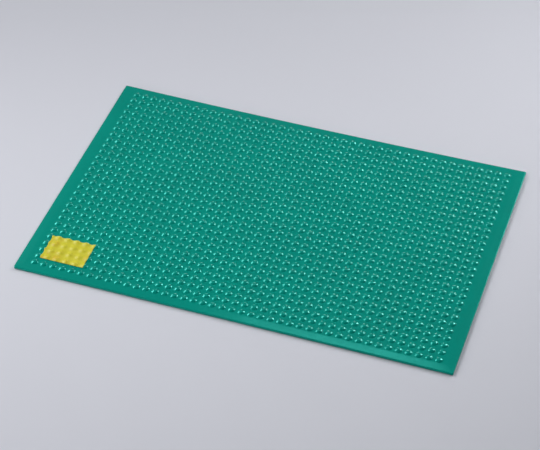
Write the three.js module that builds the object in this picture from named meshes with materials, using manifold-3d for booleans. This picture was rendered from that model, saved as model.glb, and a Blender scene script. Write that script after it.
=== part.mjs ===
// Anti-fatigue floor mat: one moulding with a bubble surface, and a thin label stuck on its domes.
// Millimetres, +Z up. The origin is on the floor under the middle of the mat. X runs along the
// long side, and the label lies near the front left corner.
import * as THREE from 'three';
import { mergeVertices } from 'three/addons/utils/BufferGeometryUtils.js';
import Module from 'manifold-3d';

const wasm = await Module();
wasm.setup();

// Driving dimensions of the mat
const matLength = 910;
const matWidth = 610;
const edgeHeight = 5.5;
const fieldHeight = 6.5;
const bevelWidth = 17;
const edgeRound = 1.2;
const footRound = 0.6;
const cornerRadius = 3;

// Driving dimensions of the domes, which stand on a square grid centred on the mat
const domePitch = 20;
const domeHeight = 2.5;
const domeReach = 7;
const plainEnd = 24;
const plainSide = 14;

// Driving dimensions of the label: its cut size and where its front left corner lies on the mat
const labelLength = 95;
const labelWidth = 70;
const labelFromEnd = 39.5;
const labelFromSide = 37.5;
const labelFilm = 0.2;
const labelClearance = 0.3;

const cornerSteps = 3;
const sharpestCorner = 0.4;

const crownHeight = fieldHeight + domeHeight;
const domesAlong = Math.floor((matLength - 2 * plainEnd) / domePitch);
const domesAcross = Math.floor((matWidth - 2 * plainSide) / domePitch);

// Collects corner points and the triangles between them
class Surface {
  constructor() {
    this.points = [];
    this.triangles = [];
  }

  point(x, y, z) {
    this.points.push(x, y, z);
    return this.points.length / 3 - 1;
  }

  plan(index) {
    return new THREE.Vector2(this.points[3 * index], this.points[3 * index + 1]);
  }

  quad(a, b, c, d) {
    this.triangles.push(a, b, c, a, c, d);
  }

  // Fills a level outline, with or without a hole in it, facing up or down
  fill(outline, hole, facing) {
    const outer = outline.map((index) => this.plan(index));
    const inner = hole.map((index) => this.plan(index));
    const all = outline.concat(hole);
    for (const [a, b, c] of THREE.ShapeUtils.triangulateShape(outer, hole.length ? [inner] : [])) {
      const [p, q, r] = [all[a], all[b], all[c]];
      const turn = this.plan(q).sub(this.plan(p)).cross(this.plan(r).sub(this.plan(p)));
      this.triangles.push(...(turn * facing > 0 ? [p, q, r] : [p, r, q]));
    }
  }

  geometry() {
    const result = new THREE.BufferGeometry();
    result.setAttribute('position', new THREE.Float32BufferAttribute(this.points, 3));
    result.setIndex(this.triangles);
    return result;
  }
}

// One closed loop round the mat, counter-clockwise from above: a rectangle with rounded corners
function rimLoop(surface, inset, z) {
  const radius = Math.max(cornerRadius - inset, sharpestCorner);
  const halfX = matLength / 2 - inset - radius;
  const halfY = matWidth / 2 - inset - radius;
  const loop = [];
  const corners = [[1, 1], [-1, 1], [-1, -1], [1, -1]];
  corners.forEach(([sideX, sideY], quarter) => {
    for (let step = 0; step <= cornerSteps; step += 1) {
      const angle = (quarter + step / cornerSteps) * Math.PI / 2;
      const x = sideX * halfX + radius * Math.cos(angle);
      const y = sideY * halfY + radius * Math.sin(angle);
      loop.push(surface.point(x, y, z));
    }
  });
  return loop;
}

// The band between a loop and the next one above or inside it
function rimBand(surface, lower, upper) {
  lower.forEach((start, index) => {
    const next = (index + 1) % lower.length;
    surface.quad(start, lower[next], upper[next], upper[index]);
  });
}

// The domes, each with four faces that rise from the field to its crown. Neighbours meet at one
// point halfway between them, and level diamonds of the field lie between every four domes.
// Returns the outline of the whole pattern, counter-clockwise from above.
function domeField(surface) {
  const domeX = (column) => (column - (domesAlong - 1) / 2) * domePitch;
  const domeY = (row) => (row - (domesAcross - 1) / 2) * domePitch;
  // The corner before dome number i along a row of count domes, which has no neighbour at its ends
  const cornerShift = (i, count) => {
    if (i === 0) return domeReach;
    return i === count ? domePitch - domeReach : domePitch / 2;
  };
  const grid = (columns, rows, place) => Array.from({ length: columns }, (_, column) => (
    Array.from({ length: rows }, (__, row) => surface.point(...place(column, row)))));

  const crowns = grid(domesAlong, domesAcross, (i, j) => [domeX(i), domeY(j), crownHeight]);
  const besides = grid(domesAlong + 1, domesAcross, (i, j) => (
    [domeX(i) - cornerShift(i, domesAlong), domeY(j), fieldHeight]));
  const betweens = grid(domesAlong, domesAcross + 1, (i, j) => (
    [domeX(i), domeY(j) - cornerShift(j, domesAcross), fieldHeight]));

  for (let i = 0; i < domesAlong; i += 1) {
    for (let j = 0; j < domesAcross; j += 1) {
      const foot = [besides[i][j], betweens[i][j], besides[i + 1][j], betweens[i][j + 1]];
      foot.forEach((corner, side) => {
        surface.triangles.push(corner, foot[(side + 1) % foot.length], crowns[i][j]);
      });
      if (i + 1 < domesAlong && j + 1 < domesAcross) {
        surface.quad(besides[i + 1][j], betweens[i + 1][j + 1], besides[i + 1][j + 1], betweens[i][j + 1]);
      }
    }
  }

  const front = [];
  const right = [];
  const back = [];
  const left = [];
  for (let i = 0; i < domesAlong; i += 1) {
    if (i > 0) front.push(besides[i][0]);
    front.push(betweens[i][0]);
    back.unshift(betweens[i][domesAcross]);
    if (i + 1 < domesAlong) back.unshift(besides[i + 1][domesAcross - 1]);
  }
  for (let j = 0; j < domesAcross; j += 1) {
    if (j > 0) right.push(betweens[domesAlong - 1][j]);
    right.push(besides[domesAlong][j]);
    left.unshift(besides[0][j]);
    if (j + 1 < domesAcross) left.unshift(betweens[0][j + 1]);
  }
  return [...front, ...right, ...back, ...left];
}

// The whole moulding: flat underside, upright edge, sloping rim with mitred corners, and domes
function matGeometry() {
  const surface = new Surface();
  const section = [
    [footRound, 0],
    [0, footRound],
    [0, edgeHeight - edgeRound],
    [edgeRound, edgeHeight],
    [bevelWidth, fieldHeight],
  ];
  const loops = section.map(([inset, z]) => rimLoop(surface, inset, z));
  loops.slice(1).forEach((upper, index) => rimBand(surface, loops[index], upper));
  surface.fill(loops[0], [], -1);
  surface.fill(loops[loops.length - 1], domeField(surface), 1);
  return surface.geometry();
}

function solidOf(geometry) {
  const bare = geometry.clone();
  bare.deleteAttribute('normal');
  bare.deleteAttribute('uv');
  const merged = mergeVertices(bare);
  return new wasm.Manifold(new wasm.Mesh({
    numProp: 3,
    vertProperties: new Float32Array(merged.attributes.position.array),
    triVerts: new Uint32Array(merged.index.array),
  }));
}

function geometryOf(solid) {
  const mesh = solid.getMesh();
  const result = new THREE.BufferGeometry();
  result.setAttribute('position', new THREE.BufferAttribute(new Float32Array(mesh.vertProperties), 3));
  result.setIndex(new THREE.BufferAttribute(new Uint32Array(mesh.triVerts), 1));
  return result;
}

// The label: a film that drapes over the domes, cut out between the mat's surface lifted by the
// clearance and the same surface lifted by the film as well
function labelGeometry(mat) {
  const lifted = (height) => solidOf(mat.clone().translate(0, 0, height));
  const cutter = new THREE.BoxGeometry(labelLength, labelWidth, 2 * crownHeight);
  cutter.translate(
    labelFromEnd + (labelLength - matLength) / 2,
    labelFromSide + (labelWidth - matWidth) / 2,
    crownHeight + fieldHeight / 2,
  );
  const patch = solidOf(cutter);
  const film = patch.intersect(lifted(labelClearance + labelFilm)).subtract(lifted(labelClearance));
  return geometryOf(film);
}

function piece(name, geometry, color, roughness) {
  const material = new THREE.MeshStandardMaterial({ color, roughness, metalness: 0 });
  material.flatShading = true;
  const mesh = new THREE.Mesh(geometry, material);
  mesh.name = name;
  return mesh;
}

const matShape = matGeometry();
const product = new THREE.Group();
product.add(piece('mat', matShape, 0x0a8a7c, 0.5));
product.add(piece('label', labelGeometry(matShape), 0xdad42f, 0.4));

export default product;
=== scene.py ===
"""Finishes an anti-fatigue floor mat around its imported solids: the bubble-surfaced moulding with its
sloping rim, the thin vinyl label that drapes over its domes, and a plain stage with a camera."""

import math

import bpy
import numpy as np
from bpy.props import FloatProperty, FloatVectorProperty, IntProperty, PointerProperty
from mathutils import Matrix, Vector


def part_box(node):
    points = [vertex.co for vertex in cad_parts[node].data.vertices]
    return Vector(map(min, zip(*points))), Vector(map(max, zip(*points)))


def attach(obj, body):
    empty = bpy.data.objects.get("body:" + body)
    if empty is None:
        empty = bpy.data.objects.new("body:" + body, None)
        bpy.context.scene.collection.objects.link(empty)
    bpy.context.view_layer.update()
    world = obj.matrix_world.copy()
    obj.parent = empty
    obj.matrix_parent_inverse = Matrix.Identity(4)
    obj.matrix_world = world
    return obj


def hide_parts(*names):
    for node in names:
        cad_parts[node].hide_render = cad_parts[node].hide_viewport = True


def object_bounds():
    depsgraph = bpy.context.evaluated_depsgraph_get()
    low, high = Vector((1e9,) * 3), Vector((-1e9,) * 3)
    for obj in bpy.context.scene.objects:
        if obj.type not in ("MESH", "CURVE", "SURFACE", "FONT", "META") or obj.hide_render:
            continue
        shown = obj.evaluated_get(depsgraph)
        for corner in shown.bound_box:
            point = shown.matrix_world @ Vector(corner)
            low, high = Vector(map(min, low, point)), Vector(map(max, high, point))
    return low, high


bl_info = {
    "name": "Bubble Mat Finisher",
    "version": (1, 0, 0),
    "blender": (4, 5, 0),
    "location": "View3D > Sidebar > Bubble Mat",
    "description": "Moulds a bubble-surfaced floor mat with a draped label and sets up its stage",
    "category": "Object",
}

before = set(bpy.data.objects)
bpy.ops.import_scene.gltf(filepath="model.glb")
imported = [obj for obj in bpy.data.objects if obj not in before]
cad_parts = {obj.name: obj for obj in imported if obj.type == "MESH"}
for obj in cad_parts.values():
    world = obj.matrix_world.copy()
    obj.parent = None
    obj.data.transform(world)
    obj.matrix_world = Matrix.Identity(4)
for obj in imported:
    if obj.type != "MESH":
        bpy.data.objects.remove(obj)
CAD_LOW, CAD_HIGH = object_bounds()
LABEL_LOW, LABEL_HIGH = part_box("label")
MM = 0.001

CORNER_STEPS = 4
EDGE_STEPS = 6
FOOT_STEPS = 4
SHARPEST_CORNER = 0.3 * MM
SHOULDER = 1.5 * MM
DOME_RING_SHARES = (0.30, 0.57, 0.80, 1.0)
BOW_POWER = 1.5
DRAPE_ROUNDS = 60
DRAPE_GRIP = 0.012
PULL_POWER = 7
FLOOR_REACH = 6.0


def length_property(name, description, millimetres):
    """A size that a user may change, kept in metres."""
    return FloatProperty(name=name, description=description, default=millimetres * MM,
                         min=0.0, unit="LENGTH", subtype="DISTANCE", precision=5)


def colour_property(name, description, colour):
    """A colour that a user may change, in linear light."""
    return FloatVectorProperty(name=name, description=description, default=colour, size=3,
                               min=0.0, max=1.0, subtype="COLOR")


class MatSettings(bpy.types.PropertyGroup):
    """Sizes and colours of the moulding."""

    edge_height: length_property("Edge height", "Height of the upright edge of the mat", 5.5)
    field_height: length_property("Field height", "Height of the level field between the domes", 6.5)
    rim_width: length_property("Rim width", "Width of the plain rim that slopes down to the edge", 17.0)
    edge_round: length_property("Edge rounding", "Radius along the top edge of the rim", 1.3)
    foot_round: length_property("Foot rounding", "Radius along the bottom edge of the mat", 0.6)
    corner_radius: length_property("Corner radius", "Radius of each corner seen from above", 3.0)
    dome_pitch: length_property("Dome pitch", "Distance from one dome to the next", 20.0)
    dome_radius: length_property("Dome radius", "Radius of a dome at its foot, fillet included", 7.8)
    dome_height: length_property("Dome height", "Height of a dome above the field", 2.5)
    dome_fillet: length_property("Dome fillet", "Radius of the fillet round the foot of a dome", 0.8)
    plain_end: length_property("Plain end", "Least bare ground from a short edge to the dome cells", 24.0)
    plain_side: length_property("Plain side", "Least bare ground from a long edge to the dome cells", 14.0)
    dome_sides: IntProperty(name="Dome sides", description="Points in each ring of a dome",
                            default=14, min=6, max=32)
    back_bow: length_property("Back bow", "How far the middle of the back edge lies in from a "
                              "straight line, as a thick mat often does", 5.0)
    colour: colour_property("Colour", "Green of the elastomer", (0.001, 0.294, 0.226))
    gloss_tint: colour_property("Gloss tint", "Colour that the skin gives to what it mirrors",
                                (0.06, 1.00, 0.88))


class LabelSettings(bpy.types.PropertyGroup):
    """Sizes and colours of the label."""

    film: length_property("Film", "Thickness of the vinyl film", 0.2)
    lift: length_property("Lift", "Glue and air between the film and the mat", 0.06)
    step: length_property("Mesh step", "Distance between the points of the film", 1.0)
    pull: FloatProperty(name="Pull", description="How far the edge is drawn in where the film dips, "
                        "as a share of the dip", default=0.7, min=0.0, max=1.0)
    cut_edge: length_property("Cut edge", "Width of the paler band along the cut edge", 1.3)
    colour: colour_property("Colour", "Printed yellow of the film", (0.640, 0.590, 0.022))
    edge_colour: colour_property("Edge colour", "Paler yellow of the cut edge", (0.800, 0.840, 0.130))
    # Painted shade: this ochre stands for the film's shade over the domes beneath it, not for a stain.
    painted_shade_colour: colour_property("Stain colour", "Ochre where the print has darkened",
                                  (0.630, 0.380, 0.012))


class StageSettings(bpy.types.PropertyGroup):
    """The camera and the floor."""

    azimuth: FloatProperty(name="Azimuth", description="Camera's turn round the mat", subtype="ANGLE",
                           default=math.radians(18.604))
    elevation: FloatProperty(name="Elevation", description="Camera's angle above the floor",
                             subtype="ANGLE", default=math.radians(43.035))
    roll: FloatProperty(name="Roll", description="Camera's roll about its own axis", subtype="ANGLE",
                        default=math.radians(0.054))
    distance: length_property("Distance", "From the camera to the point it looks at", 3952.2)
    aim: FloatVectorProperty(name="Aim", description="Point on the floor that the camera looks at",
                             default=(-0.00827, -0.01936, 0.0), size=3, subtype="TRANSLATION")
    lens: FloatProperty(name="Lens", description="Focal length on a 36 mm wide sensor, in millimetres",
                        default=128.13, min=1.0)
    floor_colour: colour_property("Floor", "Pale paper under the mat", (0.700, 0.710, 0.775))
    room_colour: colour_property("Room", "Colour of the room's own light", (0.93, 0.95, 1.00))
    room_light: FloatProperty(name="Room light", description="Strength of the room's own light",
                              default=0.13, min=0.0)


class Wire:
    """An output socket of a material's node tree, with arithmetic on it."""

    def __init__(self, paint, node, output=0):
        self.paint = paint
        self.node = node
        self.socket = node.outputs[output]

    def __getitem__(self, output):
        return Wire(self.paint, self.node, output)

    def maths(self, operation, *values):
        return self.paint.add("ShaderNodeMath", {"operation": operation},
                              dict(enumerate((self, *values))))

    def __add__(self, other):
        return self.maths("ADD", other)

    def __sub__(self, other):
        return self.maths("SUBTRACT", other)

    def __mul__(self, other):
        return self.maths("MULTIPLY", other)

    def __rsub__(self, other):
        return self.paint.add("ShaderNodeMath", {"operation": "SUBTRACT"}, {0: other, 1: self})

    def size(self):
        return self.maths("ABSOLUTE")

    __radd__ = __add__
    __rmul__ = __mul__

    def between(self, low, high):
        """0 below low, 1 above high, and a smooth rise from one to the other."""
        return self.paint.add("ShaderNodeMapRange", {"interpolation_type": "SMOOTHSTEP"},
                              {"Value": self, "From Min": low, "From Max": high})


class Paint:
    """A material and its node tree."""

    def __init__(self, name):
        self.material = bpy.data.materials.new(name)
        self.material.use_nodes = True
        self.tree = self.material.node_tree
        self.shader = self.tree.nodes["Principled BSDF"]

    def add(self, kind, settings=None, inputs=None):
        """One node: its settings first, then the values or links of its sockets."""
        node = self.tree.nodes.new(kind)
        for name, value in (settings or {}).items():
            setattr(node, name, value)
        for name, value in (inputs or {}).items():
            self.connect(node.inputs[name], value)
        return Wire(self, node)

    def connect(self, socket, value):
        if isinstance(value, Wire):
            self.tree.links.new(value.socket, socket)
        else:
            socket.default_value = value

    def finish(self, **sockets):
        """Sets or links the shader's own sockets, named with underscores for spaces."""
        for name, value in sockets.items():
            self.connect(self.shader.inputs[name.replace("_", " ")], value)
        return self.material

    def place(self):
        """Where a point is on the object, in metres."""
        return self.add("ShaderNodeTexCoord")["Object"]

    def noise(self, place, size, detail=2.0, roughness=0.5):
        """Noise from 0 to 1 whose lumps are about size across, in metres."""
        return self.add("ShaderNodeTexNoise", {"noise_dimensions": "3D"},
                        {"Vector": place, "Scale": 1.0 / size, "Detail": detail,
                         "Roughness": roughness})

    def mix(self, factor, colour_a, colour_b):
        """A colour that goes from the first to the second as factor goes from 0 to 1."""
        node = self.tree.nodes.new("ShaderNodeMix")
        node.data_type = "RGBA"
        named = {s.identifier: s for s in node.inputs}
        self.connect(named["Factor_Float"], factor)
        for name, value in (("A_Color", colour_a), ("B_Color", colour_b)):
            self.connect(named[name], value if isinstance(value, Wire) else (*value, 1.0))
        colour = next(i for i, s in enumerate(node.outputs) if s.identifier == "Result_Color")
        return Wire(self, node, colour)

    def bump(self, height, distance, strength, normal=None):
        """A normal tilted as if the surface rose by distance where height is 1."""
        inputs = {"Height": height, "Distance": distance, "Strength": strength}
        if normal is not None:
            inputs["Normal"] = normal
        return self.add("ShaderNodeBump", None, inputs)["Normal"]


def elastomer(mat):
    """Satin green elastomer: a moulded skin with a fine grain, soft clouds in its colour, a few faint
    scuffs on what is raised, and a coarser non-slip grain underneath."""
    paint = Paint("mat_elastomer")
    place = paint.place()
    axes = paint.add("ShaderNodeSeparateXYZ", None, {"Vector": place})
    height = axes["Z"]
    colour = tuple(mat.colour)
    deep = tuple(0.86 * c for c in colour)
    worn = tuple(0.80 * c + 0.045 for c in colour)

    clouds = paint.noise(place, 0.110, 3.0)["Fac"].between(0.35, 0.65)
    mottle = paint.noise(place, 0.009, 4.0, 0.6)["Fac"].between(0.30, 0.75)
    grain = paint.noise(place, 0.0009, 3.0, 0.6)["Fac"]
    swell = paint.noise(place, 0.075, 1.0)["Fac"]

    streaky = paint.add("ShaderNodeMapping", None, {"Vector": place, "Rotation": (0.0, 0.0, 0.6),
                                                    "Scale": (1.0, 0.07, 1.0)})
    scratches = paint.noise(streaky, 0.0016, 2.0, 0.5)["Fac"].between(0.66, 0.74)
    handled = paint.noise(place, 0.055, 2.0)["Fac"].between(0.52, 0.66)
    crown = height.between(mat.field_height + 0.55 * mat.dome_height, mat.field_height + mat.dome_height)
    rubbed = crown * handled * (0.25 + 0.55 * mottle)
    underside = 1.0 - height.between(0.05 * MM, 0.30 * MM)

    tinted = paint.mix(clouds * 0.45 + mottle * 0.22, colour, deep)
    tinted = paint.mix(rubbed * 0.35 + scratches * handled * 0.30, tinted, worn)
    roughness = 0.16 + 0.03 * mottle + 0.02 * clouds + 0.14 * rubbed + 0.24 * underside
    ridges = paint.add("ShaderNodeTexVoronoi", {"feature": "SMOOTH_F1"},
                       {"Vector": place, "Scale": 1.0 / (2.6 * MM), "Smoothness": 0.6})["Distance"]
    normal = paint.bump(swell, 0.9 * MM, 0.5)
    normal = paint.bump(grain, 0.022 * MM, 1.0, normal)
    normal = paint.bump(ridges * underside, 0.5 * MM, 0.8, normal)
    paint.finish(Base_Color=tinted, Roughness=roughness, IOR=1.52, Specular_IOR_Level=0.85,
                 Specular_Tint=(*mat.gloss_tint, 1.0), Normal=normal)
    return paint.material


def vinyl(label):
    """Yellow printed film: mottled, with ochre patches of painted shade laid at random, and pale along its
    cut edge.
    """
    paint = Paint("label_vinyl")
    place = paint.place()
    axes = paint.add("ShaderNodeSeparateXYZ", None, {"Vector": place})
    inset = paint.add("ShaderNodeMath", {"operation": "MINIMUM"}, {
        0: (LABEL_HIGH.x - LABEL_LOW.x) / 2 - (axes["X"] - (LABEL_HIGH.x + LABEL_LOW.x) / 2).size(),
        1: (LABEL_HIGH.y - LABEL_LOW.y) / 2 - (axes["Y"] - (LABEL_HIGH.y + LABEL_LOW.y) / 2).size()})
    edge = 1.0 - inset.between(0.4 * label.cut_edge, 1.2 * label.cut_edge)
    mottle = paint.noise(place, 0.0045, 4.0, 0.65)["Fac"].between(0.35, 0.75)
    # Painted shade: ochre patches, laid at random by noise, stand for the shade that the domes give the
    # film.
    shade_patches = paint.noise(place, 0.024, 3.0, 0.6)["Fac"].between(0.50, 0.68)
    print_colour = paint.mix(shade_patches * (0.40 + 0.50 * mottle), tuple(label.colour),
                             tuple(label.painted_shade_colour))
    print_colour = paint.mix(mottle * 0.18, print_colour, tuple(label.edge_colour))
    colour = paint.mix(edge * 0.85, print_colour, tuple(label.edge_colour))
    creases = paint.noise(place, 0.007, 2.0, 0.5)["Fac"]
    paint.finish(Base_Color=colour, Roughness=0.40 + 0.12 * mottle + 0.08 * edge, IOR=1.42,
                 Normal=paint.bump(creases, 0.12 * MM, 0.6))
    return paint.material


def dome_profile(mat):
    """Rings of a dome as (radius, height, slope angle), from just off the crown to the foot."""
    reach = (mat.dome_radius ** 2 + mat.dome_height ** 2) / (2 * mat.dome_height)
    cap = reach - mat.dome_fillet
    steepest = math.asin(mat.dome_radius / reach)
    rings = []
    for share in DOME_RING_SHARES:
        angle = share * steepest
        rings.append((cap * math.sin(angle), mat.dome_height - cap * (1 - math.cos(angle)), angle))
    rings.append((mat.dome_radius, 0.0, 0.0))
    return rings


def dome_lines(half, plain, pitch, rim):
    """Dome centres across one side of the mat, and the lines between them, out to the rim."""
    count = int(2 * (half - plain) / pitch)
    centres = (np.arange(count) - (count - 1) / 2) * pitch
    lines = np.concatenate(([-(half - rim)], centres[1:] - pitch / 2, [half - rim]))
    return centres, lines


class MeshParts:
    """Points with their normals, and the faces between them."""

    def __init__(self):
        self.points = []
        self.normals = []
        self.faces = []

    def point(self, place, normal):
        self.points.append(tuple(place))
        self.normals.append(tuple(normal))
        return len(self.points) - 1

    def face(self, *corners):
        """A face without the corners that repeat."""
        kept = [c for i, c in enumerate(corners) if c != corners[i - 1]]
        if len(kept) > 2:
            self.faces.append(kept)

    def band(self, first, second):
        """Faces between two closed loops of as many points."""
        for i in range(len(first)):
            self.face(first[i - 1], first[i], second[i], second[i - 1])

    def make(self, name, material, bend=None):
        mesh = bpy.data.meshes.new(name)
        places = np.array(self.points)
        if bend is not None:
            places = bend(places)
        mesh.from_pydata(places.tolist(), [], self.faces)
        mesh.shade_smooth()
        mesh.normals_split_custom_set_from_vertices(self.normals)
        mesh.materials.append(material)
        piece = bpy.data.objects.new(name, mesh)
        bpy.context.scene.collection.objects.link(piece)
        return piece


def add_domes(parts, mat, half_x, half_y):
    """The level field and its domes. Returns the field's outer loop, counter-clockwise."""
    columns, lines_x = dome_lines(half_x, mat.plain_end, mat.dome_pitch, mat.rim_width)
    rows, lines_y = dome_lines(half_y, mat.plain_side, mat.dome_pitch, mat.rim_width)
    up = (0.0, 0.0, 1.0)
    grid = [[parts.point((x, y, mat.field_height), up) for y in lines_y] for x in lines_x]
    profile = dome_profile(mat)
    turns = [(math.cos(t), math.sin(t))
             for t in np.arange(mat.dome_sides) * 2 * math.pi / mat.dome_sides]
    for i, x in enumerate(columns):
        for j, y in enumerate(rows):
            crown = parts.point((x, y, mat.field_height + mat.dome_height), up)
            loops = []
            for radius, height, slope in profile:
                lean = math.sin(slope)
                rise = math.cos(slope)
                loops.append([parts.point((x + radius * c, y + radius * s, mat.field_height + height),
                                          (lean * c, lean * s, rise)) for c, s in turns])
            for k in range(mat.dome_sides):
                parts.face(crown, loops[0][k - 1], loops[0][k])
            for inner, outer in zip(loops, loops[1:]):
                parts.band(outer, inner)
            corners = [grid[i + 1][j + 1], grid[i][j + 1], grid[i][j], grid[i + 1][j]]
            fill_cell(parts, loops[-1], corners)
    last_x = len(lines_x) - 1
    last_y = len(lines_y) - 1
    front = [grid[i][0] for i in range(1, last_x)]
    right = [grid[last_x][j] for j in range(1, last_y)]
    back = [grid[i][last_y] for i in range(last_x - 1, 0, -1)]
    left = [grid[0][j] for j in range(last_y - 1, 0, -1)]
    sides = [front, right, back, left]
    corners = [grid[last_x][0], grid[last_x][last_y], grid[0][last_y], grid[0][0]]
    return sides, corners, lines_x, lines_y


def fill_cell(parts, foot, corners):
    """The level ground between a dome's foot and the four corners of its cell, both of which run
    counter-clockwise, the corners from the far right one."""
    count = len(foot)
    nearest = [round((quarter + 0.5) * count / 4) % count for quarter in range(4)]
    for quarter, corner in enumerate(corners):
        here = nearest[quarter]
        there = nearest[(quarter + 1) % 4]
        steps = (there - here) % count
        for k in range(steps):
            a = (here + k) % count
            b = (here + k + 1) % count
            near = corner if k < steps / 2 else corners[(quarter + 1) % 4]
            parts.face(foot[b], foot[a], near)
            if k < steps / 2 <= k + 1:
                parts.face(foot[b], corner, corners[(quarter + 1) % 4])


def rim_loop(parts, mat, half_x, half_y, lines_x, lines_y, inset, height, tilt):
    """One loop round the rim. Tilt is the angle of its normal away from straight up."""
    radius = max(mat.corner_radius - inset, SHARPEST_CORNER)
    out_x = half_x - inset
    out_y = half_y - inset
    lean = math.sin(tilt)
    rise = math.cos(tilt)
    loop = []
    middles = [(lines_x[1:-1], -1), (lines_y[1:-1], 1), (lines_x[-2:0:-1], 1), (lines_y[-2:0:-1], -1)]
    corner_signs = [(1, -1), (1, 1), (-1, 1), (-1, -1)]
    for side, (stations, sign) in enumerate(middles):
        for s in stations:
            if side % 2 == 0:
                place, out = (s, sign * out_y), (0.0, sign)
            else:
                place, out = (sign * out_x, s), (sign, 0.0)
            loop.append(parts.point((*place, height), (out[0] * lean, out[1] * lean, rise)))
        sx, sy = corner_signs[side]
        for step in range(CORNER_STEPS + 1):
            angle = (side - 1 + step / CORNER_STEPS) * math.pi / 2
            c = math.cos(angle)
            s = math.sin(angle)
            place = (sx * (out_x - radius) + radius * c, sy * (out_y - radius) + radius * s, height)
            loop.append(parts.point(place, (c * lean, s * lean, rise)))
    return loop


def rim_section(mat):
    """The rim's section from the field outwards and down, as (inset, height, tilt)."""
    slope = math.atan2(mat.field_height - mat.edge_height, mat.rim_width)
    section = [(mat.rim_width - SHOULDER, mat.field_height - SHOULDER * math.tan(slope), slope)]
    radius = mat.edge_round
    for share in np.linspace(0.0, 1.0, EDGE_STEPS):
        tilt = slope + share * (math.pi / 2 - slope)
        height = mat.edge_height - radius * (1 - math.cos(tilt))
        section.append((radius * (1 - math.sin(tilt)), height, tilt))
    foot = mat.foot_round
    for share in np.linspace(0.0, 1.0, FOOT_STEPS):
        tilt = math.pi / 2 * (1 + share)
        section.append((foot * (1 - math.sin(tilt)), foot * (1 + math.cos(tilt)), tilt))
    return section


class MESH_OT_mat_moulding(bpy.types.Operator):
    """Mould the mat: domes, field, sloping rim and edge in one mesh"""

    bl_idname = "bubble_mat.moulding"
    bl_label = "Mould Mat"

    def execute(self, context):
        mat = context.scene.bubble_mat
        half_x = (CAD_HIGH.x - CAD_LOW.x) / 2
        half_y = (CAD_HIGH.y - CAD_LOW.y) / 2
        parts = MeshParts()
        sides, corners, lines_x, lines_y = add_domes(parts, mat, half_x, half_y)
        loop = []
        for side, corner in zip(sides, corners):
            loop.extend(side)
            loop.extend([corner] * (CORNER_STEPS + 1))
        for inset, height, tilt in rim_section(mat):
            outer = rim_loop(parts, mat, half_x, half_y, lines_x, lines_y, inset, height, tilt)
            parts.band(outer, loop)
            loop = outer
        parts.face(*reversed(loop))

        def lie(places):
            """Bows the back of the mat in, and leaves its ends and its front edge where they are."""
            along = places[:, 0] / half_x
            depth = (places[:, 1] / half_y + 1) / 2
            places[:, 1] -= mat.back_bow * (1 - along ** 2) * np.maximum(depth, 0.0) ** BOW_POWER
            return places

        piece = parts.make("mat_moulding", elastomer(mat), lie)
        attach(piece, "root")
        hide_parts("mat")
        return {"FINISHED"}


def surface_height(mat, x, y):
    """Height of the mat's surface over points near the label."""
    pitch = mat.dome_pitch
    reach = (mat.dome_radius ** 2 + mat.dome_height ** 2) / (2 * mat.dome_height)
    cap = reach - mat.dome_fillet
    off = np.hypot(x - pitch * np.round(x / pitch), y - pitch * np.round(y / pitch))
    on_cap = off < cap * mat.dome_radius / reach
    crown = mat.dome_height - cap + np.sqrt(np.maximum(cap ** 2 - off ** 2, 0.0))
    side = np.minimum(np.maximum(mat.dome_radius - off, 0.0), mat.dome_fillet)
    fillet = mat.dome_fillet - np.sqrt(np.maximum(mat.dome_fillet ** 2 - side ** 2, 0.0))
    return mat.field_height + np.where(on_cap, crown, fillet)


def drape(floor):
    """Lets a film settle on a floor of heights: it evens itself out and is pressed down, and it
    never sinks into what carries it."""
    film = floor.copy()
    for _ in range(DRAPE_ROUNDS):
        wide = np.pad(film, 1, mode="edge")
        even = (wide[:-2, 1:-1] + wide[2:, 1:-1] + wide[1:-1, :-2] + wide[1:-1, 2:]) / 4
        film = np.maximum(floor, even * (1 - DRAPE_GRIP) + floor * DRAPE_GRIP)
    return film


class MESH_OT_mat_label(bpy.types.Operator):
    """Lay the vinyl label over the domes near one corner"""

    bl_idname = "bubble_mat.label"
    bl_label = "Lay Label"

    def execute(self, context):
        mat = context.scene.bubble_mat
        label = context.scene.bubble_label
        xs = np.arange(LABEL_LOW.x, LABEL_HIGH.x + label.step / 2, label.step)
        ys = np.arange(LABEL_LOW.y, LABEL_HIGH.y + label.step / 2, label.step)
        x, y = np.meshgrid(xs, ys, indexing="ij")
        film = drape(surface_height(mat, x, y))
        dip = label.pull * (film.max() - film)
        x = x - dip * (2 * (x - xs.mean()) / (xs[-1] - xs[0])) ** PULL_POWER
        y = y - dip * (2 * (y - ys.mean()) / (ys[-1] - ys[0])) ** PULL_POWER
        film = np.maximum(film, surface_height(mat, x, y)) + label.lift
        points = []
        faces = []
        count_y = len(ys)
        for level in (0.0, label.film):
            points.extend(zip(x.ravel(), y.ravel(), (film + level).ravel()))
        top = len(xs) * count_y

        def at(i, j, layer):
            return layer * top + i * count_y + j

        for i in range(len(xs) - 1):
            for j in range(count_y - 1):
                faces.append([at(i, j, 1), at(i + 1, j, 1), at(i + 1, j + 1, 1), at(i, j + 1, 1)])
                faces.append([at(i, j, 0), at(i, j + 1, 0), at(i + 1, j + 1, 0), at(i + 1, j, 0)])
        ring = [(i, 0) for i in range(len(xs) - 1)]
        ring += [(len(xs) - 1, j) for j in range(count_y - 1)]
        ring += [(i, count_y - 1) for i in range(len(xs) - 1, 0, -1)]
        ring += [(0, j) for j in range(count_y - 1, 0, -1)]
        for here, there in zip(ring, ring[1:] + ring[:1]):
            faces.append([at(*here, 0), at(*there, 0), at(*there, 1), at(*here, 1)])
        mesh = bpy.data.meshes.new("label_film")
        mesh.from_pydata([tuple(map(float, p)) for p in points], [], faces)
        mesh.shade_smooth()
        mesh.materials.append(vinyl(label))
        piece = bpy.data.objects.new("label_film", mesh)
        context.scene.collection.objects.link(piece)
        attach(piece, "root")
        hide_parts("label")
        return {"FINISHED"}


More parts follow.
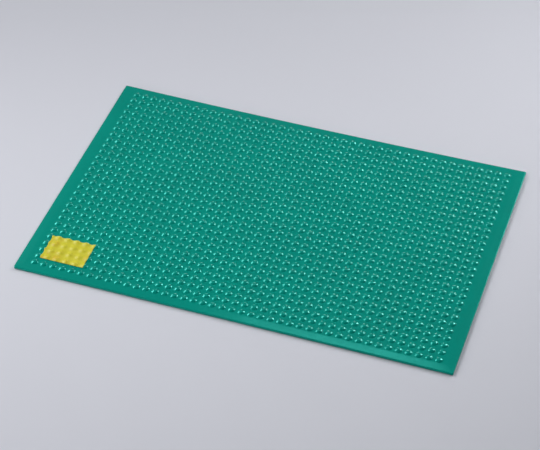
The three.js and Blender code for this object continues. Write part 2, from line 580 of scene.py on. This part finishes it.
def aim_camera(scene, stage):
    """A camera that looks at the aim from the given azimuth, elevation and distance."""
    back = Vector((math.sin(stage.azimuth) * math.cos(stage.elevation),
                   -math.cos(stage.azimuth) * math.cos(stage.elevation),
                   math.sin(stage.elevation)))
    across = Vector((0, 0, 1)).cross(back).normalized()
    upward = back.cross(across)
    right = math.cos(stage.roll) * across + math.sin(stage.roll) * upward
    up = back.cross(right)
    lens = bpy.data.cameras.new("camera")
    lens.sensor_width = 36.0
    lens.lens = stage.lens
    lens.clip_end = 50.0
    camera = bpy.data.objects.new("camera", lens)
    turn = Matrix((right, up, back)).transposed().to_4x4()
    camera.matrix_world = Matrix.Translation(Vector(stage.aim) + back * stage.distance) @ turn
    scene.collection.objects.link(camera)
    scene.camera = camera


# The soft lights of the stage. The large ones light the floor, the gridded ones near the mat bring
# out its domes, and the front fill isn't mirrored.
SOFTBOXES = {
    "left_softbox": {"azimuth": 156.0, "elevation": 41.0, "distance": 5.0,
                     "width": 2.0, "height": 1.1, "power": 87.0},
    "right_softbox": {"azimuth": 65.0, "elevation": 31.0, "distance": 5.0,
                      "width": 1.3, "height": 1.8, "power": 66.0},
    "left_grid": {"azimuth": 182.0, "elevation": 34.0, "distance": 2.2,
                  "width": 0.9, "height": 0.55, "power": 2.3, "aim": (0.05, -0.35), "spread": 70.0},
    "right_grid": {"azimuth": 60.0, "elevation": 31.0, "distance": 2.3,
                   "width": 0.5, "height": 0.8, "power": 2.4, "aim": (0.40, 0.00), "spread": 70.0},
    "back_strip": {"azimuth": 106.0, "elevation": 8.0, "distance": 4.0,
                   "width": 0.8, "height": 0.3, "power": 0.6, "spread": 60.0},
    "top_panel": {"azimuth": 104.0, "elevation": 60.0, "distance": 3.0,
                  "width": 0.7, "height": 0.3, "power": 0.32, "aim": (0.15, -0.20), "spread": 70.0},
    "front_fill": {"azimuth": 235.0, "elevation": 14.0, "distance": 3.0, "width": 1.5, "height": 0.8,
                   "power": 11.5, "aim": (0.00, -0.25), "spread": 120.0, "mirrored": False},
}


def softbox(scene, name, azimuth, elevation, distance, width, height, power, aim=(0.0, 0.0),
            spread=180.0, mirrored=True):
    """A rectangular soft light over the mat. Azimuth is counter-clockwise from +X, in degrees like
    elevation and spread, which is how wide its grid lets the light go. Distance, width, height and
    aim, the point on the floor that it faces, are in metres, and power is in watts."""
    turn = math.radians(azimuth)
    rise = math.radians(elevation)
    place = distance * Vector((math.cos(turn) * math.cos(rise), math.sin(turn) * math.cos(rise),
                               math.sin(rise)))
    light = bpy.data.lights.new(name, "AREA")
    light.shape = "RECTANGLE"
    light.size = width
    light.size_y = height
    light.energy = power
    light.spread = math.radians(spread)
    lamp = bpy.data.objects.new(name, light)
    lamp.location = place
    lamp.rotation_mode = "QUATERNION"
    lamp.rotation_quaternion = (place - Vector((*aim, 0.0))).to_track_quat("Z", "Y")
    lamp.visible_glossy = mirrored
    scene.collection.objects.link(lamp)


def paper(colour):
    """Plain pale floor."""
    paint = Paint("floor_paper")
    place = paint.place()
    cloudy = paint.noise(place, 0.8, 2.0)["Fac"]
    tinted = paint.mix(cloudy, colour, tuple(0.98 * c for c in colour))
    paint.finish(Base_Color=tinted, Roughness=0.9)
    return paint.material


class OBJECT_OT_mat_stage(bpy.types.Operator):
    """Set up the floor, the lights and the camera"""

    bl_idname = "bubble_mat.stage"
    bl_label = "Set Up Stage"

    def execute(self, context):
        scene = context.scene
        stage = scene.bubble_stage
        aim_camera(scene, stage)
        mesh = bpy.data.meshes.new("floor")
        corners = [(x * FLOOR_REACH, y * FLOOR_REACH, 0) for x, y in ((-1, -1), (1, -1), (1, 1), (-1, 1))]
        mesh.from_pydata(corners, [], [(0, 1, 2, 3)])
        mesh.materials.append(paper(stage.floor_colour))
        floor = bpy.data.objects.new("floor", mesh)
        scene.collection.objects.link(floor)
        for name, lamp in SOFTBOXES.items():
            softbox(scene, name, **lamp)
        world = bpy.data.worlds.new("studio")
        world.use_nodes = True
        background = world.node_tree.nodes["Background"]
        background.inputs["Color"].default_value = (*stage.room_colour, 1.0)
        background.inputs["Strength"].default_value = stage.room_light
        scene.world = world
        scene.view_settings.view_transform = "Standard"
        return {"FINISHED"}


class VIEW3D_PT_bubble_mat(bpy.types.Panel):
    """Lists the steps that finish the mat"""

    bl_label = "Bubble Mat"
    bl_idname = "VIEW3D_PT_bubble_mat"
    bl_space_type = "VIEW_3D"
    bl_region_type = "UI"
    bl_category = "Bubble Mat"

    def draw(self, context):
        scene = context.scene
        for settings in (scene.bubble_mat, scene.bubble_label, scene.bubble_stage):
            box = self.layout.box()
            for name in settings.__annotations__:
                box.prop(settings, name)
        for operator in OPERATORS:
            self.layout.operator(operator.bl_idname)


SETTINGS = (("bubble_mat", MatSettings), ("bubble_label", LabelSettings), ("bubble_stage", StageSettings))
OPERATORS = (OBJECT_OT_mat_stage, MESH_OT_mat_moulding, MESH_OT_mat_label)


def register():
    for name, settings in SETTINGS:
        bpy.utils.register_class(settings)
        setattr(bpy.types.Scene, name, PointerProperty(type=settings))
    for cls in (*OPERATORS, VIEW3D_PT_bubble_mat):
        bpy.utils.register_class(cls)


def unregister():
    for cls in (VIEW3D_PT_bubble_mat, *reversed(OPERATORS)):
        bpy.utils.unregister_class(cls)
    for name, settings in reversed(SETTINGS):
        delattr(bpy.types.Scene, name)
        bpy.utils.unregister_class(settings)


def main():
    register()
    bpy.ops.bubble_mat.stage()
    bpy.ops.bubble_mat.moulding()
    bpy.ops.bubble_mat.label()


if __name__ == "__main__":
    main()
